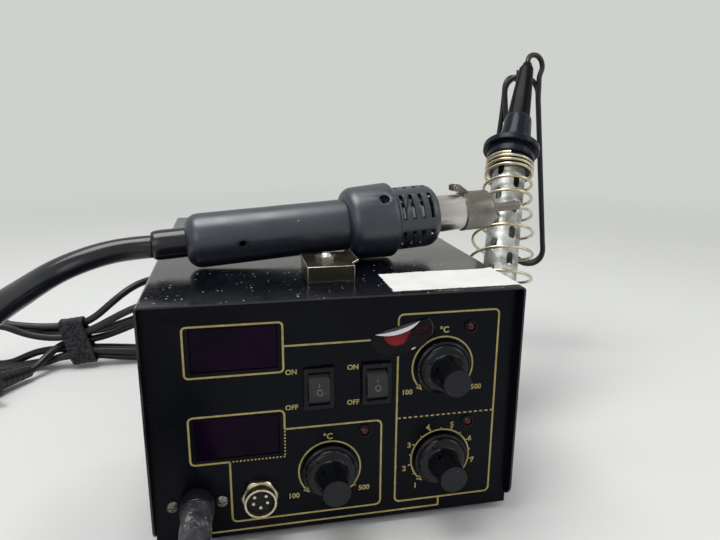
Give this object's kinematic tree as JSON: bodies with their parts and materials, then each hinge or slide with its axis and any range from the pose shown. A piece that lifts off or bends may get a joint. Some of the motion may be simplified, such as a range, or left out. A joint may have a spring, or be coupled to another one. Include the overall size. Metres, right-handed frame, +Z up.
{
  "type": "hot air rework station",
  "caption": "Bench-top hot air rework station: steel control case with dials, rockers and dark readouts, an air gun on a hose and a soldering iron in a sloping spring holder.",
  "frame": {"origin": "middle of the bounding box's bottom face, on the table, measured without the cords", "axes": "+Z up; the control panel faces -Y; +X runs to the right as the user sees it, towards the iron holder"},
  "size_m": [0.5082, 0.5335, 0.2665],
  "materials": {
    "case_paint": "satin",
    "screw_steel": "satin",
    "foot_rubber": "matt",
    "acrylic": "gloss",
    "board": "satin",
    "black_plastic": "satin",
    "lens": "gloss",
    "pot_metal": "satin",
    "socket_metal": "bright",
    "brass": "bright",
    "bracket_paint": "gloss",
    "galvanised": "satin",
    "spring_wire": "bright",
    "core_steel": "matt",
    "winding": "satin",
    "silicone": "matt",
    "cord_rubber": "satin",
    "strap": "matt",
    "gun_plastic": "satin",
    "tinted_steel": "satin",
    "nozzle_steel": "satin",
    "ceramic": "matt",
    "iron_plastic": "satin",
    "plain_steel": "satin"
  },
  "bodies": {
    "station": {"chassis": "case_paint", "cover": "case_paint", "pan_screws": "screw_steel", "feet": "foot_rubber", "display_windows": "acrylic", "display_board": "board", "iron_switch_body": "black_plastic", "air_switch_body": "black_plastic", "led_bezels": "black_plastic", "led_lenses": "lens", "pot_bodies": "pot_metal", "socket_shell": "socket_metal", "socket_insert": "black_plastic", "socket_pins": "brass", "hose_gland": "black_plastic", "hose_sleeve": "cord_rubber", "rest_bracket": "bracket_paint", "rest_screw": "screw_steel", "holder_bracket": "galvanised", "holder_tube": "galvanised", "holder_spring": "spring_wire", "holder_collar": "black_plastic", "transformer_core": "core_steel", "transformer_coil": "winding", "pump_housing": "black_plastic", "air_tube": "silicone", "main_board": "board", "mains_gland": "black_plastic", "fuse_holder": "black_plastic", "mains_cord": "cord_rubber", "mains_hank": "cord_rubber", "hank_tie": "strap", "plug_lead": "cord_rubber", "mains_plug": "black_plastic", "hose_coil": "cord_rubber", "hose_lead": "cord_rubber"},
    "pump_arm": {"pump_arm": "plain_steel"},
    "iron_rocker": {"iron_rocker": "black_plastic"},
    "air_rocker": {"air_rocker": "black_plastic"},
    "air_temperature_control": {"air_temperature_shaft": "pot_metal", "air_temperature_knob": "black_plastic"},
    "air_flow_control": {"air_flow_shaft": "pot_metal", "air_flow_knob": "black_plastic"},
    "iron_temperature_control": {"iron_temperature_shaft": "pot_metal", "iron_temperature_knob": "black_plastic"},
    "gun": {"gun_handle": "gun_plastic", "gun_head": "gun_plastic", "gun_barrel": "tinted_steel", "gun_heater": "ceramic", "gun_sleeve": "cord_rubber", "gun_hose": "cord_rubber"},
    "nozzle": {"nozzle": "nozzle_steel", "nozzle_screw": "plain_steel"},
    "iron": {"iron_handle": "iron_plastic", "iron_foot": "iron_plastic", "iron_barrel": "plain_steel", "iron_tip": "plain_steel", "iron_cord": "cord_rubber", "iron_hank": "cord_rubber", "iron_plug": "plain_steel"}
  },
  "joints": [
    {"name": "iron_switch", "type": "hinge", "parent": "station", "child": "iron_rocker", "pos_m": [-0.06595, -0.10835, 0.082], "axis": [1, 0, 0], "range_deg": [-24, 0]},
    {"name": "air_switch", "type": "hinge", "parent": "station", "child": "air_rocker", "pos_m": [-0.03655, -0.10835, 0.082], "axis": [1, 0, 0], "range_deg": [-24, 0]},
    {"name": "air_temperature_turn", "type": "hinge", "parent": "station", "child": "air_temperature_control", "pos_m": [-0.00165, -0.11425, 0.0883], "axis": [0, -1, 0], "range_deg": [-206, 74]},
    {"name": "air_flow_turn", "type": "hinge", "parent": "station", "child": "air_flow_control", "pos_m": [-0.00105, -0.11425, 0.0363], "axis": [0, -1, 0], "range_deg": [-174, 106]},
    {"name": "iron_temperature_turn", "type": "hinge", "parent": "station", "child": "iron_temperature_control", "pos_m": [-0.06055, -0.11425, 0.036], "axis": [0, -1, 0], "range_deg": [-182, 98]},
    {"name": "pump_arm_swing", "type": "hinge", "parent": "station", "child": "pump_arm", "pos_m": [-0.04295, 0.06375, 0.023], "axis": [0, 0, 1], "range_deg": [-2, 2], "stiffness_Nm_per_rad": 1},
    {"name": "gun_lift", "type": "slide", "parent": "station", "child": "gun", "axis": [0, 0, 1], "range_m": [0, 0.08]},
    {"name": "nozzle_pull", "type": "slide", "parent": "gun", "child": "nozzle", "axis": [0.9941, 0.087, 0.0645], "range_m": [0, 0.05]},
    {"name": "iron_pull", "type": "slide", "parent": "station", "child": "iron", "axis": [0.3283, 0.496, 0.8039], "range_m": [0, 0.11]}
  ]
}
